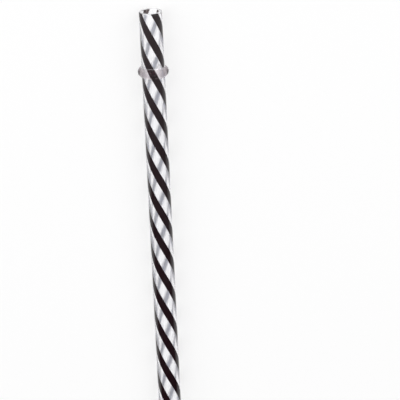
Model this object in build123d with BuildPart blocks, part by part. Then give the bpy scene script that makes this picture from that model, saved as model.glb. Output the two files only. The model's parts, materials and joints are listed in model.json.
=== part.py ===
from build123d import *
import os
from math import asin, atan2, ceil, cos, degrees, hypot, sin

os.makedirs("parts", exist_ok=True)

# Reusable drinking straw: a clear tube with coloured stripes wound flush into its outer wall, and a stop ring.
# It lies along Y with its mouth towards +Y, and rests on the ring and on its lower end. Sizes are in mm.

# Tube
STRAW_LENGTH = 230.0
TUBE_OD = 8.0
TUBE_ID = 5.8
END_BREAK = 0.2  # the edges of both ends are broken by this much

# Stripes
STRIPE_COUNT = 4
STRIPE_WIDTH = 2.8  # measured round the outside of the tube
STRIPE_DEPTH = 0.3
STRIPE_LEAD = 50.0  # length of one full turn
STRIPE_ANGLE = 22.0  # where one stripe meets the mouth, in degrees from straight up towards +X

# Stop ring
RING_OD = 10.8
RING_HEIGHT = 3.5
RING_FROM_MOUTH = 21.6  # to the middle of the ring
RING_SEAT_DEPTH = 0.1  # the ring sits this far into the tube, so that it can't slide

# Cutting
OVERCUT = 0.5  # a cutter passes the surface by this much
STRETCH = 12.0  # a stripe is swept in stretches no longer than this

# Radii, and heights measured along the tube from its lower end
tube_r = TUBE_OD / 2
bore_r = TUBE_ID / 2
seat_r = tube_r - RING_SEAT_DEPTH
ring_r = RING_OD / 2
ring_mid = STRAW_LENGTH - RING_FROM_MOUTH
ring_low = ring_mid - RING_HEIGHT / 2
ring_high = ring_mid + RING_HEIGHT / 2

# Radius of the ring's half-round section
ring_rise = ring_r - tube_r
round_r = (RING_HEIGHT**2 / 4 + ring_rise**2) / (2 * ring_rise)

# The tilt at which the ring and the corner of the lower end both touch the table
reach = ring_mid - END_BREAK
drop = tube_r - ring_r + round_r
tilt = asin(round_r / hypot(reach, drop)) - atan2(drop, reach)
low_end_height = tube_r * cos(tilt) - END_BREAK * sin(tilt)

# The tube's own plane at its lower end: x points up, y to the side and z along the tube to the mouth
straw = Plane(
    origin=(0, -STRAW_LENGTH * cos(tilt) / 2, low_end_height),
    x_dir=(0, -sin(tilt), cos(tilt)),
    z_dir=(0, cos(tilt), sin(tilt)),
)
straw_axis = Axis(straw.origin, straw.z_dir)
# The half section that is turned about the axis: x is the radius and y the height along the tube
half_section = Plane(origin=straw.origin, x_dir=straw.x_dir, z_dir=-straw.y_dir)
# The ring's half section starts at the side, so that the seam of its round face keeps clear of the table
ring_section = Plane(origin=straw.origin, x_dir=straw.y_dir, z_dir=straw.x_dir)

# The whole wall, clear and coloured together
with BuildPart() as wall:
    with BuildSketch(half_section) as wall_section:
        with BuildLine():
            Polyline(
                (bore_r, 0),
                (tube_r, 0),
                (tube_r, ring_low),
                (seat_r, ring_low),
                (seat_r, ring_high),
                (tube_r, ring_high),
                (tube_r, STRAW_LENGTH),
                (bore_r, STRAW_LENGTH),
                close=True,
            )
        make_face()
        corners = wall_section.vertices().group_by(Axis.Y)
        chamfer(corners[0] + corners[-1], END_BREAK)
    revolve(axis=straw_axis)

# Twisted bars that mark out the stripes, in stretches that meet end to end and pass the ring's seat in one
below_ring = ring_low - OVERCUT
runs = ceil((below_ring + OVERCUT) / STRETCH)
joints = [-OVERCUT + (below_ring + OVERCUT) * k / runs for k in range(runs + 1)]
joints += [ring_high + OVERCUT, STRAW_LENGTH + OVERCUT]
stripe_arc = degrees(STRIPE_WIDTH / tube_r)

with BuildPart() as bars:
    for start, end in zip(joints, joints[1:]):
        foot = straw.offset(start)
        with BuildLine() as spine:
            Line(foot.origin, straw.offset(end).origin)
        with BuildLine() as guide:
            Helix(STRIPE_LEAD, end - start, tube_r, center=foot.origin, direction=straw.z_dir, lefthand=True)
        with BuildSketch(foot) as bar_section:
            for k in range(STRIPE_COUNT):
                middle = STRIPE_ANGLE + 360 * ((STRAW_LENGTH - start) / STRIPE_LEAD + k / STRIPE_COUNT)
                with BuildLine():
                    inner = CenterArc((0, 0), tube_r - STRIPE_DEPTH - OVERCUT, middle - stripe_arc / 2, stripe_arc)
                    outer = CenterArc((0, 0), tube_r + OVERCUT, middle - stripe_arc / 2, stripe_arc)
                    Line(inner @ 0, outer @ 0)
                    Line(inner @ 1, outer @ 1)
                make_face()
        sweep(bar_section.sketch, path=spine.line, binormal=guide.edge(), clean=False)

# The bars trimmed to the stripes' depth by a sleeve round the tube
with BuildPart() as groove_cutters:
    with BuildSketch(straw.offset(-OVERCUT)):
        Circle(tube_r + OVERCUT / 2)
        Circle(tube_r - STRIPE_DEPTH, mode=Mode.SUBTRACT)
    extrude(amount=STRAW_LENGTH + 2 * OVERCUT)
    add(bars.part, mode=Mode.INTERSECT)

# Clear tube, with a groove for each stripe
with BuildPart() as clear_tube:
    add(wall.part)
    add(groove_cutters.part, mode=Mode.SUBTRACT)

# Coloured stripes, which fill the grooves
with BuildPart() as colour_stripes:
    add(wall.part)
    add(groove_cutters.part, mode=Mode.INTERSECT)

# Stop ring, half round outside and flat in its seat
with BuildPart() as stop_ring:
    with BuildSketch(ring_section):
        with BuildLine():
            Polyline((tube_r, ring_high), (seat_r, ring_high), (seat_r, ring_low), (tube_r, ring_low))
            ThreePointArc((tube_r, ring_low), (ring_r, ring_mid), (tube_r, ring_high))
        make_face()
    revolve(axis=straw_axis)

clear_tube.part.label = "clear_tube"
export_step(clear_tube.part, "parts/clear_tube.step")
colour_stripes.part.label = "colour_stripes"
export_step(colour_stripes.part, "parts/colour_stripes.step")
stop_ring.part.label = "stop_ring"
export_step(stop_ring.part, "parts/stop_ring.step")
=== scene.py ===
import json
import math

import bmesh
import bpy
from mathutils import Matrix, Vector


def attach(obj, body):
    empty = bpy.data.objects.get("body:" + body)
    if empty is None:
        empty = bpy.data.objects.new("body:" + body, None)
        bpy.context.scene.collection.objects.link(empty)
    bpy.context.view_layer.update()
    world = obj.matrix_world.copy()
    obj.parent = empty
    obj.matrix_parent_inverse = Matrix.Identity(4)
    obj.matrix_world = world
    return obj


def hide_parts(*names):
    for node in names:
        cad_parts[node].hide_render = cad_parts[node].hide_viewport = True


# A clear drinking straw with dark stripes wound flush into its wall and a stop ring below its mouth.
# It lies on a white table with its mouth towards +Y. Sizes are in metres.

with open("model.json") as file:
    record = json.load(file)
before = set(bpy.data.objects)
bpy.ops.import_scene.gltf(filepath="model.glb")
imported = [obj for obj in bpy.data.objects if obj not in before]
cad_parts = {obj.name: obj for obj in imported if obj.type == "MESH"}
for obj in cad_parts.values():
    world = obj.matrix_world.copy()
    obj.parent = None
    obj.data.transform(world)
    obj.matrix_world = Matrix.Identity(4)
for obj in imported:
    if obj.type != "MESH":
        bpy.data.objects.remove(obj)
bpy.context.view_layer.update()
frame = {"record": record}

MM = 0.001

# The straw's line and its bore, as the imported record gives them
mounts = {m["name"]: m for m in frame["record"]["mounts"]}
ALONG = Vector(mounts["bore"]["axis"]).normalized()
BORE_MIDDLE = Vector(mounts["bore"]["pos_m"])
BORE_R = mounts["bore"]["dims"]["r_mm"] * MM

# Tube
STRAW_LENGTH = 230.0 * MM
TUBE_R = 4.0 * MM
END_ROUND = 0.25 * MM
END_FACE = 0.3 * END_ROUND  # how far the cut finish of an end reaches round its edges

# Stripes
STRIPE_COUNT = 4
STRIPE_WIDTH = 2.8 * MM
STRIPE_DEPTH = 0.3 * MM
STRIPE_LEAD = 50.0 * MM
STRIPE_ANGLE = math.radians(22)
STRIPE_PROUD = 0.008 * MM  # keeps the coloured face just outside the clear one
SEEN_IN_MOUTH = 2.4 * MM  # how far down the far wall is seen through the open mouth
DARK_SHARE = 0.62  # share of a stripe's inner face that stays dark, in a painted bluish haze colour, with a painted pale edge of light on each side

# Stop ring
RING_R = 5.4 * MM
RING_HEIGHT = 3.5 * MM
RING_FROM_MOUTH = 21.6 * MM
RING_GAP = 0.03 * MM  # a hair of air between ring and tube, which shows in how the ring bends light
BEAD_WIDTH = 0.1 * MM  # the bead where the ring's upper edge meets the tube
BEAD_HEIGHT = 0.16 * MM
RING_MIDDLE = STRAW_LENGTH - RING_FROM_MOUTH
RING_LOW = RING_MIDDLE - RING_HEIGHT / 2
RING_HIGH = RING_MIDDLE + RING_HEIGHT / 2

# Camera: its line of sight meets the straw's plane at the aim point, seen from the mouth's side
AIM_FROM_MOUTH = 70.0 * MM
AIM_SIDE = 14.16 * MM
CAMERA_DISTANCE = 992.4 * MM
CAMERA_TILT = math.radians(20.56)
CAMERA_ROLL = math.radians(2.56)
LENS = 253.5

# How finely the shapes are divided
TUBE_CUTS = 115
TUBE_STEPS = 128
STRIPE_CUTS = 460
STRIPE_STEPS = 10
RING_STEPS = 160
RING_ARC_STEPS = 28
ROUND_STEPS = 6
MERGE_WITHIN = 0.0005 * MM
SHARP_FROM = math.radians(35)  # edges that bend by this much or more stay sharp

# Room: how bright it is in a direction, by how far that leans away from the mouth
ROOM_FROM = -0.5  # the lean along Y that starts the ramp
ROOM_TO = 0.0
ROOM_LEVELS = ((0.33, 0.0), (0.46, 1.9), (0.54, 1.9), (0.9, 0.45))  # place on the ramp, and level there

# Lamps and table
LAMP_SIZE = 1.6
LEFT_POWER = 14.5
RIGHT_POWER = 11.8
LAMP_SHARE = 0.96  # share of a lamp's light that a clear wall lets through
TABLE_GLOW = 0.7  # share of the table's white that the lamps don't change

# Places of the finishes on the tube and on the stripes, after the one that covers their outside
BORE, RING_SEAT, CUT_END, BEAD = range(1, 5)
# The stripes' inner faces carry painted light: a lighter bluish haze colour in the middle and pale edges,
# as seen through the clear wall.
INSIDE_PAINTED_HAZE, PAINTED_PALE_EDGE, AT_MOUTH = range(1, 4)

# The straw's own frame stands it on its lower end: x is up from the table, y to the side, z along the straw
SIDE = Vector((1, 0, 0))
UP = SIDE.cross(ALONG)
LOW_END = BORE_MIDDLE - ALONG * STRAW_LENGTH / 2
MOUTH = BORE_MIDDLE + ALONG * STRAW_LENGTH / 2
LIE_DOWN = Matrix.Translation(LOW_END) @ Matrix((UP, SIDE, ALONG)).transposed().to_4x4()


# Shapes

def wall_section(bm):
    """Outline of the wall's half section, with its four corners rounded, as a closed loop of edges."""
    corners = [
        bm.verts.new(place)
        for place in ((BORE_R, 0, 0), (TUBE_R, 0, 0), (TUBE_R, 0, STRAW_LENGTH), (BORE_R, 0, STRAW_LENGTH))
    ]
    bm.faces.new(corners)
    bmesh.ops.bevel(
        bm,
        geom=corners,
        offset=END_ROUND,
        affect="VERTICES",
        segments=ROUND_STEPS,
        profile=0.5,
        material=-1,
    )
    bmesh.ops.delete(bm, geom=bm.faces[:], context="FACES_ONLY")


def long_edges(bm):
    return [e for e in bm.edges if e.calc_length() > STRAW_LENGTH / 2]


def wound_at(height):
    """How far the stripes have turned at a height along the straw."""
    return STRIPE_ANGLE + math.tau * (STRAW_LENGTH - height) / STRIPE_LEAD


def turn(bm, geom, angle, steps, merge):
    bmesh.ops.spin(
        bm,
        geom=geom,
        cent=(0, 0, 0),
        axis=(0, 0, 1),
        angle=angle,
        steps=steps,
        use_merge=merge,
        use_duplicate=False,
    )


def finish_piece(bm, name, node, slot, *materials):
    """Lays the finished shape on the table and hands it over in place of its CAD node."""
    bmesh.ops.remove_doubles(bm, verts=bm.verts[:], dist=MERGE_WITHIN)
    bmesh.ops.recalc_face_normals(bm, faces=bm.faces[:])
    for face in bm.faces:
        face.smooth = True
    for edge in bm.edges:
        edge.smooth = edge.calc_face_angle(0.0) < SHARP_FROM
    bmesh.ops.transform(bm, matrix=LIE_DOWN, verts=bm.verts[:])
    mesh = bpy.data.meshes.new(name)
    bm.to_mesh(mesh)
    bm.free()
    for material in materials:
        mesh.materials.append(material)
    piece = bpy.data.objects.new(name, mesh)
    bpy.context.scene.collection.objects.link(piece)
    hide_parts(node)
    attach(piece, "root")


def add_bead(bm):
    """Thin bead on the tube along the ring's upper edge."""
    rest = set(bm.faces)
    foot_r = TUBE_R + RING_GAP / 2
    corners = [
        bm.verts.new(place)
        for place in (
            (foot_r, 0, RING_HIGH),
            (foot_r + BEAD_WIDTH, 0, RING_HIGH),
            (foot_r, 0, RING_HIGH + BEAD_HEIGHT),
        )
    ]
    sides = [bm.edges.new((corners[k - 1], corners[k])) for k in range(3)]
    turn(bm, corners + sides, math.tau, TUBE_STEPS, True)
    for face in set(bm.faces) - rest:
        face.material_index = BEAD


def make_tube(skin, bore, ring_seat, cut_end, bead):
    bm = bmesh.new()
    wall_section(bm)
    bmesh.ops.subdivide_edges(bm, edges=long_edges(bm), cuts=TUBE_CUTS)
    turn(bm, bm.verts[:] + bm.edges[:], math.tau, TUBE_STEPS, True)
    for height in (RING_LOW, RING_HIGH):
        everything = bm.verts[:] + bm.edges[:] + bm.faces[:]
        bmesh.ops.bisect_plane(bm, geom=everything, plane_co=(0, 0, height), plane_no=(0, 0, 1))
    for face in bm.faces:
        middle = face.calc_center_median()
        in_bore = middle.xy.length < BORE_R + END_ROUND
        under_ring = RING_LOW < middle.z < RING_HIGH
        at_end = not END_FACE < middle.z < STRAW_LENGTH - END_FACE
        if at_end:
            face.material_index = CUT_END
        elif in_bore:
            face.material_index = BORE
        elif under_ring:
            face.material_index = RING_SEAT
    add_bead(bm)
    finishes = (skin, bore, ring_seat, cut_end, bead)
    finish_piece(bm, "tube_wall", "clear_tube", "clear_plastic", *finishes)


def make_stripes(outside, inside, painted_pale_edge, at_mouth):
    bm = bmesh.new()
    wall_section(bm)
    bore_side = [v for v in bm.verts if v.co.x < TUBE_R - 1.01 * END_ROUND]
    bmesh.ops.delete(bm, geom=bore_side, context="VERTS")
    bmesh.ops.subdivide_edges(bm, edges=long_edges(bm), cuts=STRIPE_CUTS)
    arc = STRIPE_WIDTH / TUBE_R
    pitch = math.tau / STRIPE_COUNT
    bmesh.ops.rotate(bm, verts=bm.verts[:], cent=(0, 0, 0), matrix=Matrix.Rotation(-arc / 2, 3, "Z"))
    turn(bm, bm.verts[:] + bm.edges[:], arc, STRIPE_STEPS, False)
    one_stripe = bm.verts[:] + bm.edges[:] + bm.faces[:]
    for k in range(1, STRIPE_COUNT):
        copy = bmesh.ops.duplicate(bm, geom=one_stripe)["geom"]
        copied = [v for v in copy if isinstance(v, bmesh.types.BMVert)]
        bmesh.ops.rotate(bm, verts=copied, cent=(0, 0, 0), matrix=Matrix.Rotation(k * pitch, 3, "Z"))
    for v in bm.verts:
        v.co.rotate(Matrix.Rotation(wound_at(v.co.z), 3, "Z"))
    proud = 1 + STRIPE_PROUD / TUBE_R
    bmesh.ops.scale(bm, vec=(proud, proud, 1), verts=bm.verts[:])
    bmesh.ops.recalc_face_normals(bm, faces=bm.faces[:])
    bmesh.ops.solidify(bm, geom=bm.faces[:], thickness=STRIPE_DEPTH)
    # Inner faces get painted light: a pale edge on each side of a lighter bluish middle. Near the mouth
    # they keep a dark face.
    for face in bm.faces:
        middle = face.calc_center_median()
        in_wall = all(v.co.xy.length < TUBE_R - 0.9 * STRIPE_DEPTH for v in face.verts)
        if in_wall and middle.z > STRAW_LENGTH - SEEN_IN_MOUTH:
            face.material_index = AT_MOUTH
        elif in_wall:
            across = (math.atan2(middle.y, middle.x) - wound_at(middle.z) + pitch / 2) % pitch - pitch / 2
            face.material_index = PAINTED_PALE_EDGE if abs(across) > DARK_SHARE * arc / 2 else INSIDE_PAINTED_HAZE
    finishes = (outside, inside, painted_pale_edge, at_mouth)
    finish_piece(bm, "stripes", "colour_stripes", "stripe_plastic", *finishes)


def make_ring(material):
    inner_r = TUBE_R + RING_GAP
    rise = RING_R - inner_r
    round_r = (RING_HEIGHT**2 / 4 + rise**2) / (2 * rise)
    sweep = 2 * math.acos(1 - rise / round_r)
    bm = bmesh.new()
    low = bm.verts.new((inner_r, 0, RING_LOW))
    bmesh.ops.spin(
        bm,
        geom=[low],
        cent=(RING_R - round_r, 0, RING_MIDDLE),
        axis=(0, -1, 0),
        angle=sweep,
        steps=RING_ARC_STEPS,
        use_merge=False,
    )
    bm.edges.new([v for v in bm.verts if len(v.link_edges) < 2])
    turn(bm, bm.verts[:] + bm.edges[:], math.tau, RING_STEPS, True)
    finish_piece(bm, "ring", "stop_ring", "ring_plastic", material)


# Finishes

def extrusion_streaks():
    """Node group: faint streaks drawn out along the straw, and a fine mottle, both from 0 to 1."""
    group = bpy.data.node_groups.new("extrusion_streaks", "ShaderNodeTree")
    scale = group.interface.new_socket("Streak Scale", in_out="INPUT", socket_type="NodeSocketFloat")
    scale.default_value = 900
    group.interface.new_socket("Streak", in_out="OUTPUT", socket_type="NodeSocketFloat")
    group.interface.new_socket("Mottle", in_out="OUTPUT", socket_type="NodeSocketFloat")
    nodes, links = group.nodes, group.links
    entry = nodes.new("NodeGroupInput")
    leave = nodes.new("NodeGroupOutput")
    place = nodes.new("ShaderNodeTexCoord")
    drawn = nodes.new("ShaderNodeMapping")
    drawn.inputs["Scale"].default_value = (1.0, 0.03, 1.0)
    streak = nodes.new("ShaderNodeTexNoise")
    streak.inputs["Detail"].default_value = 3.0
    streak.inputs["Roughness"].default_value = 0.6
    mottle = nodes.new("ShaderNodeTexNoise")
    mottle.inputs["Scale"].default_value = 260.0
    mottle.inputs["Detail"].default_value = 4.0
    links.new(place.outputs["Object"], drawn.inputs["Vector"])
    links.new(drawn.outputs["Vector"], streak.inputs["Vector"])
    links.new(entry.outputs["Streak Scale"], streak.inputs["Scale"])
    links.new(place.outputs["Object"], mottle.inputs["Vector"])
    links.new(streak.outputs["Fac"], leave.inputs["Streak"])
    links.new(mottle.outputs["Fac"], leave.inputs["Mottle"])
    return group


def plastic(name, streaks, pale, dark, rough, transmission, ior):
    """Moulded plastic whose colour and polish vary a little along the streaks."""
    material = bpy.data.materials.new(name)
    material.use_nodes = True
    nodes, links = material.node_tree.nodes, material.node_tree.links
    shader = nodes["Principled BSDF"]
    shader.inputs["IOR"].default_value = ior
    shader.inputs["Transmission Weight"].default_value = transmission
    pattern = nodes.new("ShaderNodeGroup")
    pattern.node_tree = streaks
    colour = nodes.new("ShaderNodeMix")
    colour.data_type = "RGBA"
    colour.inputs["A"].default_value = (*pale, 1)
    colour.inputs["B"].default_value = (*dark, 1)
    polish = nodes.new("ShaderNodeMapRange")
    polish.inputs["From Min"].default_value = 0.3
    polish.inputs["From Max"].default_value = 0.7
    polish.inputs["To Min"].default_value = rough[0]
    polish.inputs["To Max"].default_value = rough[1]
    links.new(pattern.outputs["Streak"], colour.inputs["Factor"])
    links.new(colour.outputs["Result"], shader.inputs["Base Color"])
    links.new(pattern.outputs["Mottle"], polish.inputs["Value"])
    links.new(polish.outputs["Result"], shader.inputs["Roughness"])
    if transmission > 0:
        let_lamps_through(nodes, links, shader)
    return material


def ring_plastic(streaks):
    """Clear plastic with a grey body, which darkens with the depth that is looked through."""
    pale, dark = (1.0, 0.98, 0.99), (0.97, 0.95, 0.96)
    material = plastic("ring_plastic", streaks, pale, dark, (0.05, 0.09), 1.0, 1.2)
    nodes, links = material.node_tree.nodes, material.node_tree.links
    body = nodes.new("ShaderNodeVolumeAbsorption")
    body.inputs["Color"].default_value = (0.50, 0.46, 0.48, 1)
    body.inputs["Density"].default_value = 450
    links.new(body.outputs["Volume"], nodes["Material Output"].inputs["Volume"])
    return material


def let_lamps_through(nodes, links, shader):
    """Lets most of a lamp's light pass a clear wall, so that the straw's inside and its shadow are lit."""
    path = nodes.new("ShaderNodeLightPath")
    share = nodes.new("ShaderNodeMath")
    share.operation = "MULTIPLY"
    share.inputs[1].default_value = LAMP_SHARE
    pass_on = nodes.new("ShaderNodeBsdfTransparent")
    pass_on.inputs["Color"].default_value = (0.99, 0.99, 0.99, 1)
    mix = nodes.new("ShaderNodeMixShader")
    links.new(path.outputs["Is Shadow Ray"], share.inputs[0])
    links.new(share.outputs[0], mix.inputs["Fac"])
    links.new(shader.outputs["BSDF"], mix.inputs[1])
    links.new(pass_on.outputs["BSDF"], mix.inputs[2])
    links.new(mix.outputs["Shader"], nodes["Material Output"].inputs["Surface"])


def table_white():
    """White table that shows white to the camera and through the clear wall, and still takes the shadow."""
    material = bpy.data.materials.new("table_white")
    material.use_nodes = True
    nodes, links = material.node_tree.nodes, material.node_tree.links
    nodes.clear()
    out = nodes.new("ShaderNodeOutputMaterial")
    path = nodes.new("ShaderNodeLightPath")
    straight = nodes.new("ShaderNodeMath")
    straight.operation = "MULTIPLY"
    straight.inputs[1].default_value = TABLE_GLOW
    through = nodes.new("ShaderNodeMath")
    through.operation = "MAXIMUM"
    share = nodes.new("ShaderNodeMath")
    share.operation = "MAXIMUM"
    lit = nodes.new("ShaderNodeBsdfDiffuse")
    lit.inputs["Color"].default_value = (0.86, 0.86, 0.86, 1)
    white = nodes.new("ShaderNodeEmission")
    white.inputs["Strength"].default_value = 1.0
    mix = nodes.new("ShaderNodeMixShader")
    links.new(path.outputs["Is Camera Ray"], straight.inputs[0])
    links.new(path.outputs["Is Glossy Ray"], through.inputs[0])
    links.new(path.outputs["Is Transmission Ray"], through.inputs[1])
    links.new(straight.outputs[0], share.inputs[0])
    links.new(through.outputs[0], share.inputs[1])
    links.new(share.outputs[0], mix.inputs["Fac"])
    links.new(lit.outputs["BSDF"], mix.inputs[1])
    links.new(white.outputs["Emission"], mix.inputs[2])
    links.new(mix.outputs["Shader"], out.inputs["Surface"])
    return material


# Stage

def make_table():
    bm = bmesh.new()
    bmesh.ops.create_grid(bm, x_segments=1, y_segments=1, size=3.0)
    mesh = bpy.data.meshes.new("table")
    bm.to_mesh(mesh)
    bm.free()
    mesh.materials.append(table_white())
    table = bpy.data.objects.new("table", mesh)
    bpy.context.scene.collection.objects.link(table)


def soft_light(name, place, aim, size, power):
    light = bpy.data.lights.new(name, "AREA")
    light.shape = "DISK"
    light.size = size
    light.energy = power
    lamp = bpy.data.objects.new(name, light)
    lamp.location = place
    lamp.rotation_euler = (Vector(aim) - Vector(place)).to_track_quat("-Z", "Y").to_euler()
    bpy.context.scene.collection.objects.link(lamp)


def light_room():
    world = bpy.data.worlds.new("room")
    world.use_nodes = True
    nodes, links = world.node_tree.nodes, world.node_tree.links
    sky = nodes["Background"]
    sky.inputs["Color"].default_value = (1, 1, 1, 1)
    look = nodes.new("ShaderNodeTexCoord")
    parts = nodes.new("ShaderNodeSeparateXYZ")
    reach = nodes.new("ShaderNodeMapRange")
    reach.inputs["From Min"].default_value = ROOM_FROM
    reach.inputs["From Max"].default_value = ROOM_TO
    ramp = nodes.new("ShaderNodeValToRGB")
    ramp.color_ramp.interpolation = "EASE"
    stops = ramp.color_ramp.elements
    stops[0].position, stops[1].position = ROOM_LEVELS[0][0], ROOM_LEVELS[-1][0]
    for place, _ in ROOM_LEVELS[1:-1]:
        stops.new(place)
    for stop, (_, level) in zip(stops, ROOM_LEVELS):
        stop.color = (level, level, level, 1)
    path = nodes.new("ShaderNodeLightPath")
    seen = nodes.new("ShaderNodeMath")
    seen.operation = "MAXIMUM"
    strength = nodes.new("ShaderNodeMix")
    strength.inputs["B"].default_value = 1.0
    links.new(look.outputs["Generated"], parts.inputs["Vector"])
    links.new(parts.outputs["Y"], reach.inputs["Value"])
    links.new(reach.outputs["Result"], ramp.inputs["Fac"])
    links.new(path.outputs["Is Camera Ray"], seen.inputs[0])
    links.new(path.outputs["Is Transmission Ray"], seen.inputs[1])
    links.new(seen.outputs[0], strength.inputs["Factor"])
    links.new(ramp.outputs["Color"], strength.inputs["A"])
    links.new(strength.outputs["Result"], sky.inputs["Strength"])
    bpy.context.scene.world = world
    soft_light("left_light", (-0.9, 0.6, 1.0), MOUTH, LAMP_SIZE, LEFT_POWER)
    soft_light("right_light", (0.9, 0.6, 1.0), MOUTH, LAMP_SIZE, RIGHT_POWER)


def aim_camera():
    down = -ALONG
    sight = math.sin(CAMERA_TILT) * down - math.cos(CAMERA_TILT) * UP
    image_down = math.cos(CAMERA_TILT) * down + math.sin(CAMERA_TILT) * UP
    aim = MOUTH + AIM_FROM_MOUTH * down + AIM_SIDE * SIDE
    data = bpy.data.cameras.new("camera")
    data.lens = LENS
    data.sensor_width = 36
    data.clip_end = 10
    camera = bpy.data.objects.new("camera", data)
    level = Matrix((SIDE, -image_down, -sight)).transposed().to_4x4()
    camera.matrix_world = (
        Matrix.Translation(aim - CAMERA_DISTANCE * sight) @ level @ Matrix.Rotation(-CAMERA_ROLL, 4, "Z")
    )
    bpy.context.scene.collection.objects.link(camera)
    bpy.context.scene.camera = camera


streaks = extrusion_streaks()
make_tube(
    plastic("clear_skin", streaks, (1.0, 0.99, 1.0), (0.98, 0.975, 1.0), (0.005, 0.02), 0.72, 1.49),
    plastic("clear_bore", streaks, (1.0, 1.0, 1.0), (0.98, 0.99, 1.0), (0.005, 0.02), 1.0, 1.49),
    plastic("ring_seat", streaks, (0.98, 0.97, 0.975), (0.96, 0.95, 0.955), (0.35, 0.45), 0.7, 1.49),
    plastic("cut_end", streaks, (0.98, 0.98, 0.99), (0.94, 0.94, 0.96), (0.2, 0.3), 0.4, 1.49),
    plastic("ring_bead", streaks, (0.98, 0.97, 0.98), (0.96, 0.95, 0.96), (0.1, 0.2), 0.93, 1.2),
)
make_stripes(
    plastic(
        "stripe_plastic", streaks, (0.0085, 0.0018, 0.0035), (0.011, 0.003, 0.005), (0.16, 0.22), 0.0, 1.4
    ),
    # Painted light: the inner faces are painted lighter and bluer than the black stripe, for the haze seen
    # over them through the clear wall.
    plastic("stripe_inside_painted_haze", streaks, (0.03, 0.05, 0.14), (0.05, 0.07, 0.16), (0.4, 0.5), 0.0, 1.5),
    # Painted light: pale edges on the inner faces, so that the stripes seen through the wall look narrower.
    plastic("stripe_painted_pale_edge", streaks, (0.86, 0.85, 0.88), (0.80, 0.79, 0.82), (0.4, 0.5), 0.0, 1.5),
    plastic("stripe_at_mouth", streaks, (0.075, 0.05, 0.05), (0.095, 0.07, 0.07), (0.4, 0.5), 0.0, 1.5),
)
make_ring(ring_plastic(streaks))
make_table()
light_room()
aim_camera()
bpy.context.scene.view_settings.view_transform = "Standard"
